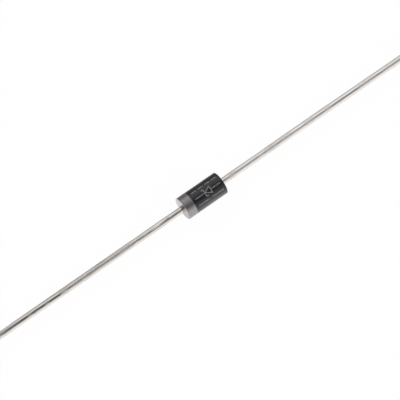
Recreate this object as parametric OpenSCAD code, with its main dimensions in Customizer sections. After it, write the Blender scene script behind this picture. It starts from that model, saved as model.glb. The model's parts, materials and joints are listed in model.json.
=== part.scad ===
// Axial zener diode: a silicon die soldered between two nail-head wires and moulded into a round resin body.
// Origin at the middle of the body. +X runs along the wires, from cathode to anode, and +Z is up.
// All sizes are in millimetres.

/* [Moulded body] */
// Length of the body between its end faces
body_l = 5.1; // [4.2:0.1:5.2]
// Diameter of the body
body_d = 2.65; // [2.4:0.05:2.7]
// Rounding where the side of the body meets an end face
edge_r = 0.08; // [0.04:0.01:0.2]

/* [Wires] */
// Diameter of the tinned wire
wire_d = 0.8; // [0.7:0.01:0.86]
// Length of each wire from its end face to its cropped tip
wire_l = 28.7; // [25.4:0.1:30]
// Diameter of the nail head on the inner end of each wire
head_d = 1.6; // [1.5:0.05:1.8]
// Thickness of the nail head
head_t = 0.35; // [0.25:0.05:0.5]
// Diameter of the root of the taper behind the nail head
neck_d = 1.2; // [1:0.05:1.4]
// Length of the taper behind the nail head
neck_l = 0.25; // [0.1:0.05:0.5]
// Extra diameter of the wire behind that taper, where cold heading swells it
swell = 0.06; // [0.02:0.01:0.1]

/* [Junction] */
// Side of the square silicon die
die_w = 1; // [0.7:0.05:1]
// Thickness of the die
die_t = 0.25; // [0.2:0.01:0.35]
// Diameter of each solder disc
solder_d = 1.44; // [1.42:0.01:1.5]
// Thickness of each solder disc
solder_t = 0.05; // [0.03:0.01:0.08]
// How far the silicone bead bulges out past the nail heads
bead_bulge = 0.1; // [0.04:0.01:0.12]

/* [Paint and print] */
// Width of the cathode band, measured from the end face
band_w = 1.08; // [0.8:0.02:1.4]
// Thickness of the band's paint
band_t = 0.015; // [0.01:0.005:0.03]
// Thickness of the printed ink
ink_t = 0.015; // [0.01:0.005:0.03]
// Line width of the print
stroke_w = 0.1; // [0.06:0.01:0.14]
// Clear space between the print and the band, and between the print and the far end
print_margin = 0.4; // [0.3:0.05:0.6]
// Height of the printed diode symbol across the body
symbol_h = 0.8; // [0.6:0.05:0.9]
// Length of the triangle in the printed symbol
symbol_l = 0.75; // [0.6:0.05:0.9]
// Length of the two bent ends on the symbol's bar
symbol_bend = 0.2; // [0.15:0.01:0.25]
// Distance of each row of dashes from the symbol's centre line
row_offset = 0.78; // [0.6:0.01:0.9]
// Number of dashes in the rear row
rear_dashes = 4; // [2:1:5]
// Number of dashes in the front row
front_dashes = 2; // [2:1:5]
// Gap between two dashes in a row
dash_gap = 0.3; // [0.2:0.05:0.4]
// Turn of the print about the wires, from straight up towards the front
print_turn = 16; // [0:1:40]

/* [Hidden] */
$fn = 96;

body_r = body_d / 2;
body_end = body_l / 2;
wire_r = wire_d / 2;
wire_tip = body_end + wire_l;
// The plain round stretch of each wire starts level with the outside of the paint on the end face.
wire_exit = body_end + band_t;
// The two nail heads face each other across the solder, the die and the solder again.
head_r = head_d / 2;
head_gap = die_t + 2 * solder_t;
head_face = head_gap / 2;
head_back = head_face + head_t;
neck_end = head_back + neck_l;
// The bead's outer curve is the arc through the rims of both heads and the widest point between them.
bead_r = (pow(head_face, 2) + pow(bead_bulge, 2)) / (2 * bead_bulge);
bead_centre = head_r + bead_bulge - bead_r;
// The print fills the black side between the band and the anode end.
print_start = -body_end + band_w + print_margin;
print_end = body_end - print_margin;
print_l = print_end - print_start;
print_mid = (print_start + print_end) / 2;

// Turns a half section, with its radius along X and the wires along Y, into a solid that lies along X.
module turned() {
    rotate([0, 90, 0])
        rotate_extrude()
            children();
}

// Half section of a round rod with rounded ends.
module rod_section(radius, half_l, rounding) {
    difference() {
        translate([0, -half_l])
            square([radius, 2 * half_l]);
        for (side = [0, 1])
            mirror([0, side])
                translate([radius - rounding, half_l - rounding])
                    difference() {
                        square(2 * rounding);
                        circle(r = rounding);
                    }
    }
}

// Half section of the moulding, filled in to the centre.
module body_section() {
    rod_section(body_r, body_end, edge_r);
}

// Half section of the anode wire: nail head, taper, swollen root inside the resin, and plain wire outside.
module wire_section() {
    polygon([
        [0, head_face],
        [head_r, head_face],
        [head_r, head_back],
        [neck_d / 2, head_back],
        [(wire_d + swell) / 2, neck_end],
        [wire_r, wire_exit],
        [wire_r, wire_tip],
        [0, wire_tip]
    ]);
}

// Half section of both wires.
module wire_sections() {
    wire_section();
    mirror([0, 1])
        wire_section();
}

// Half section of the solder disc on the anode side of the die.
module solder_section() {
    translate([0, die_t / 2])
        square([solder_d / 2, solder_t]);
}

// Half section of the silicone bead, filled in to the centre.
module bead_section() {
    translate([0, -head_face])
        square([head_r, head_gap]);
    intersection() {
        translate([bead_centre, 0])
            circle(r = bead_r);
        translate([head_r, -head_face])
            square([bead_bulge, head_gap]);
    }
}

// Half section of the band: a skin over the side, the rounded edge and the end face, up to the wire.
module band_section() {
    intersection() {
        difference() {
            rod_section(body_r + band_t, body_end + band_t, edge_r + band_t);
            body_section();
            wire_sections();
        }
        translate([0, -body_l])
            square([body_d, body_end + band_w]);
    }
}

// The square chip, standing across the wires.
module chip() {
    cube([die_t, die_w, die_w], center = true);
}

// A straight printed line from one point to another.
module stroke(from, to) {
    run = to - from;
    translate(from)
        rotate(atan2(run.y, run.x))
            translate([-stroke_w / 2, -stroke_w / 2])
                square([norm(run) + stroke_w, stroke_w]);
}

// The common diode symbol with the bent bar of a zener, pointing to the cathode.
module zener_symbol() {
    tip = [print_mid - symbol_l / 2, 0];
    base = [print_mid + symbol_l / 2, 0];
    half_h = [0, symbol_h / 2];
    bend = [symbol_bend, 0];
    stroke(base - half_h, base + half_h);
    stroke(base + half_h, tip);
    stroke(tip, base - half_h);
    stroke(tip - half_h, tip + half_h);
    stroke(tip + half_h, tip + half_h - bend);
    stroke(tip - half_h, tip - half_h + bend);
    stroke([print_start, 0], tip);
    stroke(base, [print_end, 0]);
}

// A row of equal dashes over the length of the print.
module dash_row(count, across) {
    dash_l = (print_l - (count - 1) * dash_gap) / count;
    for (i = [0 : count - 1]) {
        start = print_start + i * (dash_l + dash_gap);
        stroke([start, across], [start + dash_l, across]);
    }
}

module epoxy_body() {
    color("#2a2a2c")
        turned()
            difference() {
                body_section();
                wire_sections();
                bead_section();
            }
}

module cathode_band() {
    color("#8e8e92")
        turned()
            band_section();
}

// Ink that lies on the side of the body, printed from above.
module print_marking() {
    color("#77747c")
        rotate([print_turn, 0, 0])
            intersection() {
                turned()
                    translate([body_r, -body_end])
                        square([ink_t, body_l]);
                linear_extrude(height = body_d) {
                    zener_symbol();
                    dash_row(rear_dashes, row_offset);
                    dash_row(front_dashes, -row_offset);
                }
            }
}

module cathode_lead() {
    color("#c9c8c6")
        turned()
            mirror([0, 1])
                wire_section();
}

module anode_lead() {
    color("#c9c8c6")
        turned()
            wire_section();
}

module cathode_solder() {
    color("#a9adb1")
        turned()
            mirror([0, 1])
                solder_section();
}

module anode_solder() {
    color("#a9adb1")
        turned()
            solder_section();
}

module zener_die() {
    color("#45505c")
        chip();
}

module junction_coating() {
    color("#e6e4de")
        difference() {
            turned()
                difference() {
                    bead_section();
                    solder_section();
                    mirror([0, 1])
                        solder_section();
                }
            chip();
        }
}

epoxy_body();
cathode_band();
print_marking();
cathode_lead();
anode_lead();
cathode_solder();
anode_solder();
zener_die();
junction_coating();
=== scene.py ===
# %% [markdown]
# # A zener diode with two long wires
#
# This lesson dresses a small electronic part: a black resin cylinder, 2.65 mm thick and 5.1 mm long, with
# silver-grey paint over one end and a straight tinned wire out of each end.
# The CAD model comes first, as a fixed frame. It says where every piece is and how large it is, so what is
# made here only has to follow it. Each new piece is worked out with numpy, as one or more grids of points.

import json
import math

import bpy
import numpy as np
from mathutils import Matrix, Vector


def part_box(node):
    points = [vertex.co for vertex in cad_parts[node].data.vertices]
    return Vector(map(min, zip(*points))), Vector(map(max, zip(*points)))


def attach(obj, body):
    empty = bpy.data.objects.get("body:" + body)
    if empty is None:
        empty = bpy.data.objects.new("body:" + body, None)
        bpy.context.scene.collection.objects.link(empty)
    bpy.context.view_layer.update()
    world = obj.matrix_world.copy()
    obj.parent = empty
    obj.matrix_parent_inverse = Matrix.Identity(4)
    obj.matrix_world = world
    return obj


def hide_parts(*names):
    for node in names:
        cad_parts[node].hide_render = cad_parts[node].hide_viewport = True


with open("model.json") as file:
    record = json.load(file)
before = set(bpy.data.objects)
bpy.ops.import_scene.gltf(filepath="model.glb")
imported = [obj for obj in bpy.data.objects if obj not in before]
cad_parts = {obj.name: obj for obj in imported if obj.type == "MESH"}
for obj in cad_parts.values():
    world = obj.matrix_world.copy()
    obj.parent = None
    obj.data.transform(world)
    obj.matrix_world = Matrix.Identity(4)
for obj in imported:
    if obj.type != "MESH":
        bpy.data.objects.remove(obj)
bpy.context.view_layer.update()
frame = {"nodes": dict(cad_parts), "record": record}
print("Frame nodes:", ", ".join(sorted(frame["nodes"])))

# %% [markdown]
# ## Sizes
#
# A part this small is easier to think about in millimetres, so every size below is in millimetres, and it
# is turned into metres only where a mesh, a lamp, a finish or the camera takes it. What the frame knows is
# read from it: the corners of each node's box, and the wire's radius from the mounts in the record.

# %% Read the sizes from the frame
MM = 0.001
SIZE_DIGITS = 3


def corners(node):
    """Lowest and highest corner of a frame node, in millimetres, rounded to a thousandth."""
    return [np.round(np.array(corner) / MM, SIZE_DIGITS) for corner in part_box(node)]


body_end, body_radius, _ = corners("epoxy_body")[1]
band_edge, band_radius, _ = corners("cathode_band")[1]
wire_tip, head_radius, _ = corners("anode_lead")[1]
head_face = corners("anode_lead")[0][0]
bead_radius = corners("junction_coating")[1][1]
wire_radius = frame["record"]["mounts"][0]["dims"]["r_mm"]
paint = band_radius - body_radius
print(f"Body {2 * body_end} x {2 * body_radius} mm, wire {2 * wire_radius} mm, paint {paint:.3f} mm")

# %% [markdown]
# ## The camera
#
# The camera looks down on the diode from the front left, steeply, with a long lens, so that the wires run
# from the lower left to the upper right and a narrow crescent of the painted end face still shows.
# A camera can be aimed with a constraint, but here its three axes are written straight into its matrix:
# right, up and back. The point it aims at is shifted a little so that the body sits where it should in the
# picture, and the lens follows from how many millimetres one pixel covers at the body.

# %% Place the camera
PICTURE_PIXELS = 400
PICTURE_MIDDLE = (PICTURE_PIXELS - 1) / 2
BODY_PIXEL = (201.2, 195.3)
PIXEL_MM = 0.1076
CAMERA_AZIMUTH = math.radians(-36.85)
CAMERA_ELEVATION = math.radians(67.5)
CAMERA_DISTANCE = 200.0
SENSOR_MM = 36.0

right = Vector((math.cos(CAMERA_AZIMUTH), math.sin(CAMERA_AZIMUTH), 0))
level_back = Vector((math.sin(CAMERA_AZIMUTH), -math.cos(CAMERA_AZIMUTH), 0))
back = level_back * math.cos(CAMERA_ELEVATION) + Vector((0, 0, math.sin(CAMERA_ELEVATION)))
up = back.cross(right)
aim_right = (PICTURE_MIDDLE - BODY_PIXEL[0]) * PIXEL_MM
aim_up = (BODY_PIXEL[1] - PICTURE_MIDDLE) * PIXEL_MM
aim = right * aim_right + up * aim_up

camera_data = bpy.data.cameras.new("camera")
camera_data.sensor_width = SENSOR_MM
camera_data.lens = SENSOR_MM * CAMERA_DISTANCE / (PICTURE_PIXELS * PIXEL_MM)
camera_data.clip_start = CAMERA_DISTANCE * MM / 10
camera = bpy.data.objects.new("camera", camera_data)
facing = Matrix((right, up, back)).transposed().to_4x4()
camera.matrix_world = Matrix.Translation((aim + back * CAMERA_DISTANCE) * MM) @ facing
bpy.context.scene.collection.objects.link(camera)
bpy.context.scene.camera = camera
print(f"Lens {camera_data.lens:.1f} mm, {CAMERA_DISTANCE} mm from the body")

# %% [markdown]
# ## From arrays to meshes
#
# Every piece here is a grid of points: rows along a profile or a path, columns around it. A grid could be
# filled with faces one by one, but numpy can number the corners of all its quads at once. Columns always
# close into rings. Rows close too where the profile is a loop, and otherwise a point at each end closes
# the tube with a fan of triangles. The sign of the enclosed volume tells whether the faces point outwards.

# %% Helpers that number the faces of a grid
NO_TRIANGLES = np.empty((0, 3), int)


def ring_quads(rows, columns, close_rows):
    """Corners of the quads on a grid whose columns close into rings. Point (i, j) has the number
    i * columns + j, and its quad goes on to (i, j + 1), (i + 1, j + 1) and (i + 1, j)."""
    row_count = rows if close_rows else rows - 1
    i, j = np.meshgrid(np.arange(row_count), np.arange(columns), indexing="ij")
    below = (i + 1) % rows
    beside = (j + 1) % columns
    quad = [i * columns + j, i * columns + beside, below * columns + beside, below * columns + j]
    return np.stack(quad, axis=-1).reshape(-1, 4)


def end_fans(rows, columns):
    """Triangles from the first ring to point number rows * columns, and from the last ring to the next."""
    j = np.arange(columns)
    beside = (j + 1) % columns
    last_ring = (rows - 1) * columns
    first_fan = np.column_stack([beside, j, np.full(columns, rows * columns)])
    last_fan = np.column_stack([last_ring + j, last_ring + beside, np.full(columns, rows * columns + 1)])
    return np.vstack([first_fan, last_fan])


def facing_out(points, quads, triangles):
    """A closed shell whose faces point outwards. The sum of a . (b x c) over its triangles is six times
    its volume, and where that is negative every face is turned round."""
    halves = np.vstack([quads[:, :3], quads[:, [0, 2, 3]], triangles])
    a, b, c = (points[halves[:, k]] for k in range(3))
    if np.einsum("ij,ij->", a, np.cross(b, c)) < 0:
        quads, triangles = quads[:, ::-1], triangles[:, ::-1]
    return points, quads, triangles


def ring_shell(grid):
    """A closed shell from a grid that closes in both directions, like a ring with a shaped section."""
    rows, columns, _ = grid.shape
    return facing_out(grid.reshape(-1, 3), ring_quads(rows, columns, True), NO_TRIANGLES)


def tube_shell(grid):
    """A closed shell from a grid of rings: a tube with a point at the middle of each end ring."""
    rows, columns, _ = grid.shape
    points = np.vstack([grid.reshape(-1, 3), grid[0].mean(0), grid[-1].mean(0)])
    return facing_out(points, ring_quads(rows, columns, False), end_fans(rows, columns))


# %% A helper that makes the Blender object
SHARP_ANGLE = math.radians(35)


def make_piece(name, shells, node, material):
    """One smooth object from closed shells in millimetres. It rides on the diode's one body, stands for a
    frame node and takes the finish it is given."""
    starts = np.cumsum([0] + [len(points) for points, _, _ in shells])
    points = np.vstack([points for points, _, _ in shells]) * MM
    faces = []
    for (_, quads, triangles), start in zip(shells, starts):
        faces += (quads + start).tolist() + (triangles + start).tolist()
    mesh = bpy.data.meshes.new(name)
    mesh.from_pydata(points.tolist(), [], faces)
    mesh.shade_smooth()
    mesh.set_sharp_from_angle(angle=SHARP_ANGLE)
    mesh.materials.append(material)
    piece = bpy.data.objects.new(name, mesh)
    bpy.context.scene.collection.objects.link(piece)
    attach(piece, "root")
    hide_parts(node)
    print(f"{name}: {len(points)} points, {len(faces)} faces, stands for {node}")
    return piece


# %% Helpers for profiles
def arc(centre, radius, start, end, count):
    """Points (x, r) on a circle round a centre, evenly from one angle to another, in degrees."""
    angle = np.radians(np.linspace(start, end, count))
    return np.column_stack([centre[0] + radius * np.cos(angle), centre[1] + radius * np.sin(angle)])


def line(start, end, count):
    """Evenly spaced points (x, r) on a straight line, without its last point."""
    return np.linspace(start, end, count, endpoint=False)


def turned(profile, angles):
    """A profile turned about the X axis: point (i, j) is x_i, r_i times cos a_j, r_i times sin a_j."""
    x, radius = profile[:, :1], profile[:, 1:]
    return np.stack([x + 0 * angles, radius * np.cos(angles), radius * np.sin(angles)], axis=-1)


# %% [markdown]
# ## Helpers for finishes
#
# A finish is a Principled shader with a few sockets driven by noise. Noise could follow a UV map, but a
# solid part has no seams if its noise is cut from space, so all of it reads Object coordinates, scaled to
# millimetres. What is the same all over a surface is written straight into the shader's own socket.

# %% Helpers that start a finish and vary a value
def new_finish(name, **constants):
    """A material whose Principled shader has these constants in its sockets."""
    material = bpy.data.materials.new(name)
    material.use_nodes = True
    for socket, value in constants.items():
        shader_socket(material, socket.replace("_", " ")).default_value = value
    return material


def shader_socket(material, name):
    """An input socket of the material's Principled shader."""
    return material.node_tree.nodes["Principled BSDF"].inputs[name]


def noise(material, feature, detail=2.0, stretch=(1, 1, 1), offset=(0, 0, 0)):
    """Noise between 0 and 1 with features of one size in millimetres. It is drawn out along each axis by
    stretch, and an offset gives another piece of the same noise."""
    nodes, links = material.node_tree.nodes, material.node_tree.links
    place = nodes.new("ShaderNodeTexCoord")
    mapping = nodes.new("ShaderNodeMapping")
    mapping.inputs["Scale"].default_value = [1 / (MM * feature * factor) for factor in stretch]
    mapping.inputs["Location"].default_value = offset
    texture = nodes.new("ShaderNodeTexNoise")
    texture.inputs["Scale"].default_value = 1.0
    texture.inputs["Detail"].default_value = detail
    links.new(place.outputs["Object"], mapping.inputs["Vector"])
    links.new(mapping.outputs["Vector"], texture.inputs["Vector"])
    return texture.outputs["Fac"]


def span(material, value, low, high, start=0.3, end=0.7):
    """A value that runs smoothly from low to high while another value runs from start to end. Noise keeps
    mostly to the middle, so the usual start and end lie well inside 0 and 1."""
    node = material.node_tree.nodes.new("ShaderNodeMapRange")
    node.interpolation_type = "SMOOTHSTEP"
    settings = {"From Min": start, "From Max": end, "To Min": low, "To Max": high}
    for name, number in settings.items():
        node.inputs[name].default_value = number
    material.node_tree.links.new(value, node.inputs["Value"])
    return node.outputs["Result"]


def shades(material, value, stops):
    """A colour that runs through these (position, red, green, blue) stops as a value goes from 0 to 1."""
    node = material.node_tree.nodes.new("ShaderNodeValToRGB")
    elements = node.color_ramp.elements
    while len(elements) < len(stops):
        elements.new(1.0)
    for element, (position, *colour) in zip(elements, stops):
        element.position = position
        element.color = (*colour, 1.0)
    material.node_tree.links.new(value, node.inputs["Fac"])
    return node.outputs["Color"]


# %% Helpers that combine values and reach the shader
def product(material, first, second):
    """The product of two values."""
    node = material.node_tree.nodes.new("ShaderNodeMath")
    node.operation = "MULTIPLY"
    material.node_tree.links.new(first, node.inputs[0])
    material.node_tree.links.new(second, node.inputs[1])
    return node.outputs["Value"]


def place_share(material, axis, start, end):
    """A value that runs smoothly from 0 at start to 1 at end along the X, Y or Z axis, in millimetres."""
    nodes, links = material.node_tree.nodes, material.node_tree.links
    place = nodes.new("ShaderNodeTexCoord")
    parts = nodes.new("ShaderNodeSeparateXYZ")
    links.new(place.outputs["Object"], parts.inputs["Vector"])
    return span(material, parts.outputs[axis], 0.0, 1.0, start * MM, end * MM)


def blend(material, share, first, second):
    """A colour that goes from the first to the second with share."""
    node = material.node_tree.nodes.new("ShaderNodeMix")
    node.data_type = "RGBA"
    links = material.node_tree.links
    links.new(share, node.inputs["Factor"])
    links.new(first, node.inputs["A"])
    links.new(second, node.inputs["B"])
    return node.outputs["Result"]


def drive(material, name, value):
    """Lets a value or colour drive one socket of the shader."""
    material.node_tree.links.new(value, shader_socket(material, name))


def roughen(material, value, height):
    """Bump from a value between 0 and 1, with the height of the relief in millimetres."""
    node = material.node_tree.nodes.new("ShaderNodeBump")
    node.inputs["Strength"].default_value = 1.0
    node.inputs["Distance"].default_value = height * MM
    material.node_tree.links.new(value, node.inputs["Height"])
    drive(material, "Normal", node.outputs["Normal"])


# %% [markdown]
# ## The moulded body
#
# The body is epoxy resin, pressed into a two-part steel mould round the finished wires. The mould leaves a
# plain cylinder with slightly rounded rims and a very fine seam along both sides, where its halves met.
# A cylinder with a bevel would give the outline, but not the seam or the hollow inside. So the whole half
# section, out along the side and back along the wires and the silicone bead, is one closed profile that is
# turned about X. The columns lie closer together at the seam, which is only a few hundredths wide.

# %% Describe the moulded skin
EDGE_ROUNDING = 0.08
SEAM_HEIGHT = 0.012
SEAM_HALF_WIDTH = 0.022
WAVE_HEIGHT = 0.002
SEAM_CROWDING = 0.6
SKIN_COLUMNS = 320


def skin_angles(columns):
    """Angles round X that crowd at the seam, where a = 0 and 180 degrees: a = s - k sin(2s) / 2."""
    step = np.linspace(0, 2 * np.pi, columns, endpoint=False)
    return step - SEAM_CROWDING / 2 * np.sin(2 * step)


def skin_relief(x, angle):
    """How far the moulded side stands off its cylinder: a bell-shaped seam on both sides, where the sine
    of the angle is zero, and two slow waves that run round and along the body."""
    seam = SEAM_HEIGHT * np.exp(-((np.sin(angle) / SEAM_HALF_WIDTH) ** 2))
    waves = np.cos(3 * angle + 1.3 * x) + np.cos(5 * angle - 2.1 * x + 1)
    return seam + WAVE_HEIGHT * waves


def lifted(grid, angles, lift):
    """A turned grid with its points moved away from the X axis by lift."""
    radius = np.hypot(grid[..., 1], grid[..., 2]) + lift
    return np.stack([grid[..., 0], radius * np.cos(angles), radius * np.sin(angles)], axis=-1)


# %% Make the body
HEAD_THICKNESS = 0.35
NECK_RADIUS = 0.6
NECK_LENGTH = 0.25
ROOT_RADIUS = 0.43
RELIEF_FALL = 24
head_back = head_face + HEAD_THICKNESS
neck_end = head_back + NECK_LENGTH
wire_exit = body_end + paint


def wire_root(x):
    """Radius of the wire inside the resin: a slight cone from the swollen neck to the plain wire."""
    return np.interp(x, [neck_end, wire_exit], [ROOT_RADIUS, wire_radius])


def bead_arc(count):
    """Half of the hollow that the bead leaves: the circle through the rim of the head and the top."""
    bulge = bead_radius - head_radius
    radius = (head_face**2 + bulge**2) / (2 * bulge)
    reach = math.degrees(math.asin(head_face / radius))
    return arc((0, bead_radius - radius), radius, 90 - reach, 90, count)


def body_half():
    """The body's half section for x above zero: side, rounded rim, end face, and back along the wire."""
    rim = body_end - EDGE_ROUNDING
    return np.vstack(
        [
            line((0, body_radius), (rim, body_radius), 64),
            arc((rim, body_radius - EDGE_ROUNDING), EDGE_ROUNDING, 90, 0, 9),
            line((body_end, body_radius - EDGE_ROUNDING), (body_end, wire_root(body_end)), 16)[1:],
            line((body_end, wire_root(body_end)), (neck_end, ROOT_RADIUS), 8),
            line((neck_end, ROOT_RADIUS), (head_back, NECK_RADIUS), 3),
            line((head_back, NECK_RADIUS), (head_back, head_radius), 3),
            line((head_back, head_radius), (head_face, head_radius), 3),
            bead_arc(5),
        ]
    )


half = body_half()
mirrored = half[-2:0:-1] * (-1, 1)
body_profile = np.vstack([half, mirrored])
angles = skin_angles(SKIN_COLUMNS)
body_grid = turned(body_profile, angles)
share = (body_profile[:, 1:] / body_radius) ** RELIEF_FALL
body_grid = lifted(body_grid, angles, share * skin_relief(body_grid[..., 0], angles))
print(f"Body profile of {len(body_profile)} points, turned through {SKIN_COLUMNS} steps")

# %% [markdown]
# ### Black resin
#
# Moulding resin is more filler than plastic: fine silica and soot. It comes out of the mould as a glossy
# black that is never quite even. One plain black would look like a hole in the picture. So there are two
# mottled blacks, a deep one for the top and a grey one for the flanks, blended by height: the grey is a
# painted reflection of the white table, which makes the resin lighter towards the bottom. A fine grain from
# the eroded steel of the mould breaks up the gloss.

# %% Mix the black resin
RESIN_INDEX = 1.6
# Heights in millimetres where the painted reflection on the lower flanks starts and where it is full
REFLECTION_START = 0.9
REFLECTION_FULL = 0.2

resin = new_finish("black_resin", IOR=RESIN_INDEX)
mottle = noise(resin, feature=0.55, detail=4.0)
plain_black = shades(resin, mottle, [(0.3, 0.005, 0.0046, 0.0055), (0.75, 0.01, 0.0092, 0.0108)])
# Painted reflection of the white table: a greyer black that makes the resin lighter towards the bottom
painted_reflection_black = shades(resin, mottle, [(0.3, 0.057, 0.054, 0.06), (0.75, 0.091, 0.087, 0.095)])
painted_reflection_share = place_share(resin, "Z", REFLECTION_START, REFLECTION_FULL)
drive(resin, "Base Color", blend(resin, painted_reflection_share, plain_black, painted_reflection_black))
patches = noise(resin, feature=0.3, detail=3.0, offset=(7, 3, 1))
drive(resin, "Roughness", span(resin, patches, low=0.14, high=0.22))
grain = noise(resin, feature=0.06, detail=3.0)
roughen(resin, grain, height=0.002)
make_piece("resin_body", [ring_shell(body_grid)], "epoxy_body", resin)

# %% [markdown]
# ## The cathode band
#
# A wheel rolls silver-grey paint round one end and over the end face, up to the wire. Paint has a
# thickness and an edge: it stands 0.015 mm proud, follows the seam beneath it, and ends in a soft lip that
# isn't quite straight. A second colour on the body's own material would be flat, so the band is a thin
# closed skin with its own section, and its edge wanders by a few hundredths round the body.

# %% Make the band
LIP = 0.05
PAINT_ROOT = 0.01
EDGE_WANDER = 0.022
EDGE_WAVES = 9
PAINT_SWELL = 0.003
PAINT_WAVES = 14


def wander(angle, waves, seed):
    """A seamless random wave between -1 and 1: a sum of cosines with 1, 2, 3 and more periods round the
    circle, each with its own random size and phase."""
    draw = np.random.default_rng(seed)
    periods = np.arange(1, waves + 1)
    size = draw.normal(size=waves) / np.sqrt(periods)
    phase = draw.uniform(0, 2 * np.pi, waves)
    wave = (size * np.cos(np.multiply.outer(angle, periods) + phase)).sum(-1)
    return wave / np.abs(wave).max()


def band_section():
    """The band's closed section: face, rounded rim, side and lip outside, and the same way back inside."""
    rim = EDGE_ROUNDING - body_end
    face = -body_end - paint
    side = body_radius - EDGE_ROUNDING
    lip = np.radians(np.linspace(90, 0, 7))
    lip_curve = np.column_stack(
        [band_edge - LIP + LIP * np.cos(lip), body_radius + paint * np.sin(lip)]
    )
    inner = body_radius - PAINT_ROOT
    return np.vstack(
        [
            line((face, wire_radius), (face, side), 16),
            arc((rim, side), EDGE_ROUNDING + paint, 180, 90, 11),
            line((rim, band_radius), (band_edge - LIP, band_radius), 24)[1:],
            lip_curve,
            line((band_edge - LIP, inner), (rim, inner), 8),
            arc((rim, side), EDGE_ROUNDING - PAINT_ROOT, 90, 180, 7),
            [(-body_end + PAINT_ROOT, wire_radius)],
        ]
    )


section = band_section()
band_grid = turned(section, angles)
reach = np.clip((section[:, :1] + body_end) / (band_edge + body_end), 0, 1)
band_grid[..., 0] += EDGE_WANDER * reach * wander(angles, EDGE_WAVES, seed=4)
side_share = (section[:, 1:] / band_radius) ** RELIEF_FALL
band_lift = skin_relief(band_grid[..., 0], angles) + PAINT_SWELL * wander(angles, PAINT_WAVES, seed=6)
band_grid = lifted(band_grid, angles, side_share * band_lift)
print(f"Band from {band_grid[..., 0].min():.3f} to {band_grid[..., 0].max():.3f} mm along the body")

# %% [markdown]
# ### Silver-grey paint
#
# The paint holds tiny aluminium flakes, which is why the band mirrors its surroundings softly and goes dark
# where it faces the dark above. A grey without metal would look like chalk. The shader is mostly metallic
# with a low roughness, the flakes are a fine noise in the colour, and the roller leaves faint lines round
# the body. The grey is also darker on the rear half of the side, a painted shade from the dark strip at the
# back, and lighter on the rear half of the end face. Three greys that share the same flakes are blended by
# place, because such a change has no edge that a second piece could follow.

# %% Mix the paint
# Along Y in millimetres: where the painted shade on the rear of the side starts and is full, then where the
# end face's lightening towards the rear starts and is full
REAR_SHADE_START = -0.5
REAR_SHADE_FULL = 0.1
FACE_LIGHT_START = -0.3
FACE_LIGHT_FULL = 0.4

silver_paint = new_finish("silver_grey_paint", Metallic=0.95, IOR=1.5)
flakes = noise(silver_paint, feature=0.03, detail=1.0)
full_coat = shades(
    silver_paint,
    flakes,
    [(0.3, 0.294, 0.283, 0.291), (0.5, 0.347, 0.334, 0.343), (0.72, 0.41, 0.396, 0.406)],
)
# A darker grey that paints shade on the rear half of the side
painted_shade_coat = shades(
    silver_paint,
    flakes,
    [(0.3, 0.237, 0.228, 0.235), (0.5, 0.284, 0.273, 0.281), (0.72, 0.336, 0.324, 0.333)],
)
# A lighter grey for the rear half of the end face
lighter_face_coat = shades(
    silver_paint,
    flakes,
    [(0.3, 0.42, 0.403, 0.414), (0.5, 0.49, 0.471, 0.484), (0.72, 0.57, 0.549, 0.563)],
)
on_side = place_share(silver_paint, "X", -body_end, EDGE_ROUNDING - body_end)
on_face = span(silver_paint, on_side, low=1.0, high=0.0, start=0.0, end=1.0)
# Painted shade: the side's grey darkens towards the rear, and the end face's grey lightens towards the rear
painted_shade_share = product(silver_paint, on_side, place_share(silver_paint, "Y", REAR_SHADE_START, REAR_SHADE_FULL))
face_lightening = product(silver_paint, on_face, place_share(silver_paint, "Y", FACE_LIGHT_START, FACE_LIGHT_FULL))
shaded_side_coat = blend(silver_paint, painted_shade_share, full_coat, painted_shade_coat)
drive(silver_paint, "Base Color", blend(silver_paint, face_lightening, shaded_side_coat, lighter_face_coat))
roller_lines = noise(silver_paint, feature=0.16, detail=3.0, stretch=(0.35, 2.5, 2.5))
drive(silver_paint, "Roughness", span(silver_paint, roller_lines, low=0.13, high=0.21))
pimples = noise(silver_paint, feature=0.05, detail=2.0, offset=(2, 5, 8))
roughen(silver_paint, pimples, height=0.001)
make_piece("band_paint", [ring_shell(band_grid)], "cathode_band", silver_paint)

# %% [markdown]
# ## The print
#
# Diodes are marked by a rubber pad that presses thin pale ink on the black. Here the mark is the usual
# circuit symbol between two rows of plain dashes. Each stroke could be cut out of a flat sheet and wrapped,
# but a bead of ink is really a flat lens in section, so every stroke is a tube: a lens carried along a
# straight line on the drawing, laid on the cylinder by the sine of its angle, and turned to the front.

# %% Lay out the strokes
PRINT_TURN = math.radians(16)
PRINT_MARGIN = 0.4
STROKE_WIDTH = 0.1
SYMBOL_HALF = 0.4
SYMBOL_LENGTH = 0.75
SYMBOL_BEND = 0.2
ROW_OFFSET = 0.78
DASH_GAP = 0.3
REAR_DASHES = 4
FRONT_DASHES = 2
print_start = band_edge + PRINT_MARGIN
print_end = body_end - PRINT_MARGIN


def symbol_strokes():
    """The strokes of a zener diode's symbol as rows of x and v at their start and at their end."""
    middle = (print_start + print_end) / 2
    tip, base = middle - SYMBOL_LENGTH / 2, middle + SYMBOL_LENGTH / 2
    half_height = SYMBOL_HALF
    return [
        (base, -half_height, base, half_height),
        (base, half_height, tip, 0),
        (tip, 0, base, -half_height),
        (tip, -half_height, tip, half_height),
        (tip, half_height, tip - SYMBOL_BEND, half_height),
        (tip, -half_height, tip + SYMBOL_BEND, -half_height),
        (print_start, 0, tip, 0),
        (base, 0, print_end, 0),
    ]


def dash_row(count, across):
    """A row of equal dashes over the length of the print."""
    length = (print_end - print_start - (count - 1) * DASH_GAP) / count
    starts = print_start + np.arange(count) * (length + DASH_GAP)
    return [(start, across, start + length, across) for start in starts]


strokes = symbol_strokes() + dash_row(REAR_DASHES, ROW_OFFSET) + dash_row(FRONT_DASHES, -ROW_OFFSET)
print(f"{len(strokes)} strokes between x = {print_start:.2f} and {print_end:.2f} mm")

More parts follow.
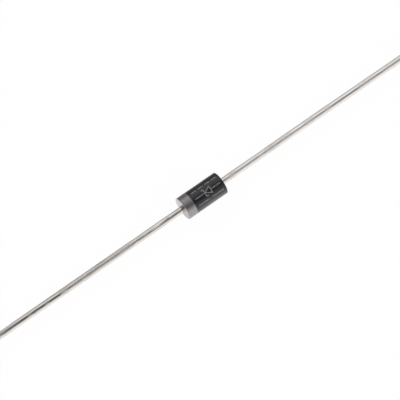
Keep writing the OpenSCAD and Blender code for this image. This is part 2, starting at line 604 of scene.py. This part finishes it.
# %% Make the ink
INK_HEIGHT = 0.015
INK_ROOT = 0.008
INK_ROWS = 48
INK_COLUMNS = 14
INK_WAVER = 0.14
INK_WAVES = 6
END_SQUARENESS = 20
END_STOP = 0.999


def ink_stroke(stroke, seed):
    """A lens-shaped bead of ink along one stroke. Along it, s runs almost from -1 to 1 and the width is
    (1 - s^20)^(1/2), with a random waver. Around it, the lens is cos b across and sin b high. The point
    x, v of the drawing lies at height r on the cylinder at y = r v / R and z = r (1 - (v / R)^2)^(1/2)."""
    x0, v0, x1, v1 = stroke
    run = np.array([x1 - x0, v1 - v0])
    length = np.hypot(*run)
    along = run / length
    across = np.array([-along[1], along[0]])
    s = -np.cos(np.linspace(0, np.pi, INK_ROWS))[:, None] * END_STOP
    b = np.linspace(0, 2 * np.pi, INK_COLUMNS, endpoint=False)[None, :]
    waver = 1 + INK_WAVER * wander(2 * s[:, 0] + seed, INK_WAVES, seed)[:, None]
    taper = np.sqrt(1 - s**END_SQUARENESS)
    half_width = STROKE_WIDTH / 2 * waver * taper
    place = (s + 1) / 2 * length + s * STROKE_WIDTH / 2
    x = x0 + place * along[0] + half_width * np.cos(b) * across[0]
    v = v0 + place * along[1] + half_width * np.cos(b) * across[1]
    height = np.where(np.sin(b) > 0, INK_HEIGHT, INK_ROOT) * np.sin(b) * taper
    tilt = np.arcsin(v / body_radius)
    angle = np.pi / 2 - tilt + PRINT_TURN
    radius = body_radius + skin_relief(x, angle) + height
    return np.stack([x, radius * np.cos(angle), radius * np.sin(angle)], axis=-1)


ink_shells = [tube_shell(ink_stroke(stroke, seed)) for seed, stroke in enumerate(strokes)]
print(f"{len(ink_shells)} beads of ink, {INK_HEIGHT} mm high")

# %% [markdown]
# ### Pale ink
#
# The ink is a thin purple-grey film that the pad never lays down evenly: it is rubbed through in places, so
# the black shows. Transparency would do that too, but a mottle between ink and resin colours is simpler and
# looks the same from every side.

# %% Mix the ink
pale_ink = new_finish("pale_ink", IOR=1.5)
rubbed = noise(pale_ink, feature=0.12, detail=3.0)
ink_greys = shades(
    pale_ink,
    rubbed,
    [(0.3, 0.055, 0.053, 0.06), (0.48, 0.165, 0.16, 0.18), (0.7, 0.265, 0.26, 0.285)],
)
drive(pale_ink, "Base Color", ink_greys)
drive(pale_ink, "Roughness", span(pale_ink, rubbed, low=0.42, high=0.6))
make_piece("print_ink", ink_shells, "print_marking", pale_ink)

# %% [markdown]
# ## The wires
#
# Each wire is copper, drawn to size, tinned, and upset to a flat nail head at the inner end before it goes
# into the mould. A Blender cylinder would be perfectly straight and round, and perfectly round metal looks
# false: its reflections have ruler-straight edges. So the wire is a profile turned about X whose
# radius dips at random shallow marks from reels and tweezers, and whose middle line wanders by a few
# hundredths towards the tip.

# %% Describe a wire
WIRE_COLUMNS = 72
WIRE_STEP = 0.08
TIP_ROUNDING = 0.04
MARK_LENGTHS = (0.25, 1.6)
MARK_SPREADS = (0.02, 0.12)
MARK_SHARES = (0.3, 1.0)
MARK_FADE = 0.4
BOW_WAVE = 0.02


def wire_profile():
    """A wire's half section from the nail head's face to the rounded rim of the cropped tip. It starts and
    ends at a quarter of the radius, and the fans of the tube close the rest."""
    rows = int((wire_tip - wire_exit) / WIRE_STEP)
    return np.vstack(
        [
            line((head_face, head_radius / 4), (head_face, head_radius), 4),
            line((head_face, head_radius), (head_back, head_radius), 3),
            line((head_back, head_radius), (head_back, NECK_RADIUS), 3),
            line((head_back, NECK_RADIUS), (neck_end, ROOT_RADIUS), 4),
            line((neck_end, ROOT_RADIUS), (wire_exit, wire_radius), 8),
            line((wire_exit, wire_radius), (wire_tip - TIP_ROUNDING, wire_radius), rows),
            arc((wire_tip - TIP_ROUNDING, wire_radius - TIP_ROUNDING), TIP_ROUNDING, 90, 0, 5),
            line((wire_tip, wire_radius - TIP_ROUNDING), (wire_tip, wire_radius / 4), 3)[1:],
        ]
    )


def handling_marks(x, angle, count, depth, seed):
    """Depth of the shallow marks on a wire: the sum over all marks of
    d exp(-((x - x0) / length)^2 - ((1 - cos(a - a0)) / spread)), so that each mark fades all round."""
    draw = np.random.default_rng(seed)
    place = draw.uniform(wire_exit, wire_tip, count)
    turn = draw.uniform(0, 2 * np.pi, count)
    length = draw.uniform(*MARK_LENGTHS, count)
    spread = draw.uniform(*MARK_SPREADS, count)
    deep = depth * draw.uniform(*MARK_SHARES, count)
    along = ((x[..., None] - place) / length) ** 2
    around = (1 - np.cos(angle[..., None] - turn)) / spread
    return (deep * np.exp(-along - around)).sum(-1)


def wire_grid(side, marks, depth, bow, arch, seed):
    """A wire along +X or -X. Its radius is the profile's less the handling marks, which fade out at the
    body. Its middle line strays to the rear by arch sin(pi s) + s^2 (bow + a small wave) and upwards by
    s^2 times another small wave, where s runs from 0 at the body to 1 at the tip."""
    profile = wire_profile()
    turn = np.linspace(0, 2 * np.pi, WIRE_COLUMNS, endpoint=False)
    grid = turned(profile, turn)
    free = np.clip((profile[:, :1] - wire_exit) / (wire_tip - wire_exit), 0, 1)
    fade = np.clip((profile[:, :1] - wire_exit) / MARK_FADE, 0, 1)
    dips = handling_marks(profile[:, :1] + 0 * turn, turn + 0 * profile[:, :1], marks, depth, seed)
    grid = lifted(grid, turn, -fade * dips)
    grid[..., 1] += arch * np.sin(np.pi * free) + free**2 * (bow + BOW_WAVE * np.sin(7 * free + seed))
    grid[..., 2] += free**2 * BOW_WAVE * np.sin(5 * free + 2 * seed)
    return grid * (side, 1, 1)


# %% [markdown]
# ### Tinned copper
#
# Tin on a drawn wire is bright but not a mirror: the die leaves fine lines along it, and flux and oxide
# darken it in short streaks. Both are noise that is drawn out along X: the lines go into the roughness and
# the relief, and the streaks are the low values of a coarser noise in the colour. Handling also turns whole
# stretches matt and pale. Noise can't say where those are, so every point of the mesh stores how worn it
# is, and the colour and the roughness read that. Each wire has its own tint.

# %% Mix the tin
BRIGHT_ROUGHNESS = 0.13
WORN_ROUGHNESS = 0.6
DARK_TIN = np.array([0.5, 0.47, 0.45])
PLAIN_TIN = np.array([0.78, 0.75, 0.73])
LIGHT_TIN = np.array([0.86, 0.83, 0.81])
DULL_TIN = np.array([0.9, 0.87, 0.85])
MATT_TIN = np.array([0.96, 0.93, 0.91])
MATT_SHARE = 0.6
STREAK_FADE = 0.1
LIGHT_VALUE = 0.7
LINE_HEIGHT = 0.0012


def worn(x, places):
    """How worn a wire is along x, from 0 to 1: a bell over each (middle, half length, depth) in places."""
    middle, half_length, depth = np.array(places).T
    return np.clip((depth * np.exp(-(((x[:, None] - middle) / half_length) ** 4))).sum(-1), 0, 1)


def add_wear(piece, places):
    """Stores the wear of every point of a wire in the attribute that the tin's finish reads."""
    positions = np.empty(3 * len(piece.data.vertices), np.float32)
    piece.data.vertices.foreach_get("co", positions)
    layer = piece.data.attributes.new("worn", "FLOAT", "POINT")
    layer.data.foreach_set("value", worn(positions[0::3] / MM, places).astype(np.float32))


def tin_finish(name, tint, dark_share, offset):
    """Bright tin with drawn lines and dark streaks, which turns matt and pale where the wire is worn. A
    larger share makes more of it dark."""
    tin = new_finish(name, Metallic=1.0, IOR=1.5)
    wear = tin.node_tree.nodes.new("ShaderNodeAttribute")
    wear.attribute_name = "worn"
    lines = noise(tin, feature=0.05, detail=3.0, stretch=(40, 1, 1), offset=offset)
    streaks = noise(tin, feature=0.35, detail=4.0, stretch=(6, 1, 1), offset=offset)
    bright_tin = shades(
        tin,
        streaks,
        [
            (dark_share, *tint * DARK_TIN),
            (dark_share + STREAK_FADE, *tint * PLAIN_TIN),
            (LIGHT_VALUE, *tint * LIGHT_TIN),
        ],
    )
    matt_share = span(tin, wear.outputs["Fac"], 0.0, MATT_SHARE, start=0.0, end=1.0)
    matt_tin = shades(tin, lines, [(0.0, *tint * DULL_TIN), (1.0, *tint * MATT_TIN)])
    drive(tin, "Base Color", blend(tin, matt_share, bright_tin, matt_tin))
    dullness = span(tin, wear.outputs["Fac"], BRIGHT_ROUGHNESS, WORN_ROUGHNESS, start=0.0, end=1.0)
    drive(tin, "Roughness", product(tin, dullness, span(tin, lines, low=0.8, high=1.2)))
    roughen(tin, lines, LINE_HEIGHT)
    return tin


# %% Make the wires
CATHODE_TINT = np.array([0.98, 0.967, 0.94])
ANODE_TINT = np.array([1.015, 1.005, 0.995])

# Worn stretches: middle and half length along X, and depth
CATHODE_WEAR = [
    (-7.4, 1.3, 0.34),
    (-10.0, 1.0, 0.2),
    (-13.4, 5.3, 0.6),
    (-18.2, 0.5, 0.5),
    (-20.4, 0.35, 0.45),
    (-22.6, 0.4, 0.45),
    (-27.0, 3.0, 0.5),
]
ANODE_WEAR = [
    (4.0, 0.5, 0.9),
    (6.2, 1.6, 0.45),
    (9.3, 1.0, 0.75),
    (11.3, 1.0, 0.65),
    (14.6, 0.8, 0.65),
    (17.2, 0.6, 0.6),
    (22.6, 1.4, 0.55),
    (26.6, 2.4, 0.5),
]

cathode_wire_grid = wire_grid(-1, marks=90, depth=0.022, bow=0.035, arch=-0.026, seed=11)
anode_wire_grid = wire_grid(1, marks=40, depth=0.01, bow=-0.055, arch=0.02, seed=12)
cathode_wire = make_piece(
    "cathode_wire",
    [tube_shell(cathode_wire_grid)],
    "cathode_lead",
    tin_finish("tinned_cathode_wire", CATHODE_TINT, dark_share=0.32, offset=(0, 0, 0)),
)
anode_wire = make_piece(
    "anode_wire",
    [tube_shell(anode_wire_grid)],
    "anode_lead",
    tin_finish("tinned_anode_wire", ANODE_TINT, dark_share=0.24, offset=(3, 1, 4)),
)
add_wear(cathode_wire, CATHODE_WEAR)
add_wear(anode_wire, ANODE_WEAR)

# %% [markdown]
# ## What is inside
#
# The chip, its solder and the silicone bead are shut in by the resin, so nobody sees them until the part is
# cut open. The frame's own solids have the right shape, and they only get their finishes: sawn silicon with
# fine stripes, dull grainy solder and milky silicone.

# %% Finish the inner pieces
def sawn_silicon():
    """Dark blue-grey silicon with fine saw marks along Z."""
    silicon = new_finish("sawn_silicon", IOR=1.8, Metallic=0.3)
    saw = noise(silicon, feature=0.02, detail=2.0, stretch=(1, 1, 20))
    blue_greys = shades(silicon, saw, [(0.3, 0.16, 0.18, 0.22), (0.7, 0.24, 0.26, 0.3)])
    drive(silicon, "Base Color", blue_greys)
    drive(silicon, "Roughness", span(silicon, saw, low=0.2, high=0.4))
    return silicon


def dull_solder():
    """Grey solder, set in small grains."""
    solder = new_finish("dull_solder", Metallic=1.0)
    grains = noise(solder, feature=0.08, detail=4.0)
    solder_greys = shades(solder, grains, [(0.3, 0.52, 0.53, 0.55), (0.7, 0.66, 0.67, 0.69)])
    drive(solder, "Base Color", solder_greys)
    drive(solder, "Roughness", span(solder, grains, low=0.35, high=0.55))
    roughen(solder, grains, height=0.004)
    return solder


def milky_silicone():
    """Soft white silicone with faint cloudy patches."""
    silicone = new_finish("milky_silicone", IOR=1.41)
    clouds = noise(silicone, feature=0.3, detail=3.0)
    warm_whites = shades(silicone, clouds, [(0.3, 0.76, 0.74, 0.7), (0.7, 0.84, 0.82, 0.78)])
    drive(silicone, "Base Color", warm_whites)
    drive(silicone, "Roughness", span(silicone, clouds, low=0.4, high=0.55))
    return silicone


def dress(node, material):
    """Gives a frame node its finish in place of the plain one it came with."""
    mesh = frame["nodes"][node].data
    mesh.materials.clear()
    mesh.materials.append(material)


solder_finish = dull_solder()
dress("cathode_solder", solder_finish)
dress("anode_solder", solder_finish)
dress("zener_die", sawn_silicon())
dress("junction_coating", milky_silicone())
print("Finished the chip, the solder and the bead")

# %% [markdown]
# ## The studio
#
# The diode lies on a white table in a white cloth tent, the usual way to photograph bright metal. Metal
# shows only what stands round it, so the tent matters more than the lamps: it is white, with a dark gap
# overhead for the lens and a dark strip low down at the back, and those two draw the dark lines on the
# wires. A lamp can't draw such lines, so the tent is a mesh whose points store how brightly they glow.
# The table is white to the eye and in reflections by its own glow, with a share of plain diffuse white that
# keeps the diode's soft shadow.

# %% Lay the table
TABLE_HALF = 2000.0
TABLE_WHITE = 0.9
GLOW_SHARE = 0.97
table_height = -band_radius


def seen_directly(tree, camera_share):
    """A value that is 1 for what a mirror or glass sees, camera_share for what the camera sees, and 0 for
    light on its way."""
    path = tree.nodes.new("ShaderNodeLightPath")
    camera_part = tree.nodes.new("ShaderNodeMath")
    camera_part.operation = "MULTIPLY"
    camera_part.inputs[1].default_value = camera_share
    tree.links.new(path.outputs["Is Camera Ray"], camera_part.inputs[0])
    total = camera_part.outputs["Value"]
    for name in ("Is Glossy Ray", "Is Transmission Ray"):
        larger = tree.nodes.new("ShaderNodeMath")
        larger.operation = "MAXIMUM"
        tree.links.new(total, larger.inputs[0])
        tree.links.new(path.outputs[name], larger.inputs[1])
        total = larger.outputs["Value"]
    return total


def table_finish():
    """White paint that glows for the eye and for reflections, and takes shadows with the rest."""
    material = bpy.data.materials.new("white_table")
    material.use_nodes = True
    tree = material.node_tree
    tree.nodes.clear()
    paper = tree.nodes.new("ShaderNodeBsdfDiffuse")
    paper.inputs["Color"].default_value = (TABLE_WHITE, TABLE_WHITE, TABLE_WHITE, 1)
    glow = tree.nodes.new("ShaderNodeEmission")
    glow.inputs["Strength"].default_value = 1.0
    mix = tree.nodes.new("ShaderNodeMixShader")
    output = tree.nodes.new("ShaderNodeOutputMaterial")
    tree.links.new(seen_directly(tree, GLOW_SHARE), mix.inputs["Fac"])
    tree.links.new(paper.outputs["BSDF"], mix.inputs[1])
    tree.links.new(glow.outputs["Emission"], mix.inputs[2])
    tree.links.new(mix.outputs["Shader"], output.inputs["Surface"])
    return material


square = np.array([(-1, -1, 0), (1, -1, 0), (1, 1, 0), (-1, 1, 0)])
table_corners = (square * TABLE_HALF + (0, 0, table_height)) * MM
table_mesh = bpy.data.meshes.new("table")
table_mesh.from_pydata(table_corners.tolist(), [], [(0, 1, 2, 3)])
table_mesh.materials.append(table_finish())
table = bpy.data.objects.new("table", table_mesh)
bpy.context.scene.collection.objects.link(table)
print(f"Table {-table_height:.2f} mm below the middle of the diode")

# %% Draw the tent's dark parts
# Darkness over the angle from straight up, in degrees, positive to the front
GAP_CURVE = [
    (-65, 0.0),
    (-50, 0.12),
    (-35, 0.4),
    (-20, 0.68),
    (-10, 0.84),
    (2, 0.9),
    (14, 0.86),
    (25, 0.66),
    (37, 0.36),
    (55, 0.0),
]
STRIP_CURVE = [
    (-122, 0.3),
    (-112, 0.6),
    (-100, 0.75),
    (-88, 0.75),
    (-75, 0.62),
    (-62, 0.34),
    (-48, 0.12),
]

# Place along X, the gap's middle, width and depth there, and the depth of the strip at the back
STATIONS = [
    (-40, -5, 1.5, 1.0, 1.0),
    (-4, 22, 1.18, 1.08, 0.9),
    (8, 31, 0.97, 1.02, 0.85),
    (20, 31, 0.86, 1.0, 0.85),
    (27, 28, 0.84, 0.94, 0.85),
    (30, 20, 1.2, 0.95, 1.0),
    (34, 18, 1.22, 0.9, 1.0),
    (36, 15, 1.28, 0.96, 1.0),
    (41, 22, 1.1, 1.08, 0.9),
    (43.5, 25, 0.88, 0.38, 0.78),
    (47, 26, 0.88, 0.45, 0.78),
    (60, 27, 0.88, 0.73, 0.78),
    (70, 27, 0.88, 0.93, 0.78),
]


def tent_glow(angle, x):
    """Brightness of the tent: 1 less the dark gap overhead and less the dark strip at the back. The gap's
    curve is moved, widened and deepened along x as the stations say, and the strip's is deepened."""
    gap_angles, gap_darkness = np.array(GAP_CURVE).T
    strip_angles, strip_darkness = np.array(STRIP_CURVE).T
    places, *settings = np.array(STATIONS).T
    middle, width, gap_depth, strip_depth = (np.interp(x, places, setting) for setting in settings)
    gap = np.interp((angle - middle) / width, gap_angles, gap_darkness)
    strip = np.interp(angle, strip_angles, strip_darkness, right=0.0)
    return np.clip(1 - gap * gap_depth - strip * strip_depth, 0, 1)


# %% Hang the tent
TENT_RADIUS = 150.0
TENT_HALF_LENGTH = 260.0
TENT_ROWS = 181
TENT_COLUMNS = 521
FLAP_START = 4.0
FLAP_LIFT = 0.2
FLAP_ROWS = 40

# The cloth starts as a flap on the table behind the diode, and then arches over it to the front
tent_angle = np.radians(np.linspace(-90, 90, TENT_ROWS))[:, None]
tent_x = np.linspace(-TENT_HALF_LENGTH, TENT_HALF_LENGTH, TENT_COLUMNS)[None, :]
flap_y = np.geomspace(FLAP_START, TENT_RADIUS, FLAP_ROWS)[:-1, None]
path_y = np.vstack([flap_y, -TENT_RADIUS * np.sin(tent_angle)])
path_z = np.vstack([0 * flap_y, TENT_RADIUS * np.cos(tent_angle)]) + FLAP_LIFT + table_height
path_angle = np.degrees(np.arctan2(-path_y, path_z))
path_glow = tent_glow(path_angle, tent_x)
tent_grid = np.stack(np.broadcast_arrays(tent_x, path_y, path_z), axis=-1)
tent_rows, tent_columns, _ = tent_grid.shape
open_quads = ring_quads(tent_rows, tent_columns, False).reshape(tent_rows - 1, tent_columns, 4)[:, :-1]

tent_mesh = bpy.data.meshes.new("tent")
tent_mesh.from_pydata((tent_grid.reshape(-1, 3) * MM).tolist(), [], open_quads.reshape(-1, 4).tolist())
glow_layer = tent_mesh.attributes.new("glow", "FLOAT", "POINT")
glow_layer.data.foreach_set("value", path_glow.astype(np.float32).ravel())
tent = bpy.data.objects.new("tent", tent_mesh)
bpy.context.scene.collection.objects.link(tent)
print(f"Tent of {path_glow.size} points that glow from {path_glow.min():.2f} to {path_glow.max():.2f}")

# %% Light the tent's cloth
cloth = bpy.data.materials.new("tent_cloth")
cloth.use_nodes = True
cloth.cycles.emission_sampling = "NONE"
cloth_nodes = cloth.node_tree.nodes
cloth_nodes.clear()
cloth_glow = cloth_nodes.new("ShaderNodeAttribute")
cloth_glow.attribute_name = "glow"
cloth_light = cloth_nodes.new("ShaderNodeEmission")
cloth_output = cloth_nodes.new("ShaderNodeOutputMaterial")
cloth.node_tree.links.new(cloth_glow.outputs["Fac"], cloth_light.inputs["Strength"])
cloth.node_tree.links.new(cloth_light.outputs["Emission"], cloth_output.inputs["Surface"])
tent_mesh.materials.append(cloth)

# The cloth is there for reflections alone
tent.visible_camera = False
tent.visible_diffuse = False
tent.visible_transmission = False
tent.visible_shadow = False
print("The tent shows in reflections only")

# %% [markdown]
# ### Lamps and world
#
# Lamps outside the cloth give the diffuse light: one large soft lamp from the back left and a weaker one
# from the front right. Together with the white world they light a flat card so that its colour comes
# out about as it is written. The view transform is Standard for the same reason.

# %% Set up the lamps and the world
WORLD_LIGHT = 0.63
LAMPS = {
    "back_lamp": {"place": (-180, 260, 320), "size": 260, "power": 0.66},
    "front_lamp": {"place": (160, -300, 240), "size": 260, "power": 0.53},
}

for name, setting in LAMPS.items():
    lamp_data = bpy.data.lights.new(name, "AREA")
    lamp_data.size = setting["size"] * MM
    lamp_data.energy = setting["power"]
    lamp = bpy.data.objects.new(name, lamp_data)
    lamp.location = Vector(setting["place"]) * MM
    lamp.rotation_euler = Vector(setting["place"]).to_track_quat("Z", "Y").to_euler()
    lamp.visible_glossy = False
    bpy.context.scene.collection.objects.link(lamp)

world = bpy.data.worlds.new("white_room")
world.use_nodes = True
room = world.node_tree
room.nodes.clear()
soft_light = room.nodes.new("ShaderNodeBackground")
soft_light.inputs["Color"].default_value = (1, 1, 1, 1)
soft_light.inputs["Strength"].default_value = WORLD_LIGHT
white_wall = room.nodes.new("ShaderNodeBackground")
white_wall.inputs["Color"].default_value = (1, 1, 1, 1)
white_wall.inputs["Strength"].default_value = 1.0
room_mix = room.nodes.new("ShaderNodeMixShader")
room_output = room.nodes.new("ShaderNodeOutputWorld")
room.links.new(seen_directly(room, camera_share=1.0), room_mix.inputs["Fac"])
room.links.new(soft_light.outputs["Background"], room_mix.inputs[1])
room.links.new(white_wall.outputs["Background"], room_mix.inputs[2])
room.links.new(room_mix.outputs["Shader"], room_output.inputs["Surface"])
bpy.context.scene.world = world
bpy.context.scene.view_settings.view_transform = "Standard"
print(f"{len(LAMPS)} lamps, and a white world of strength {WORLD_LIGHT} for diffuse light")
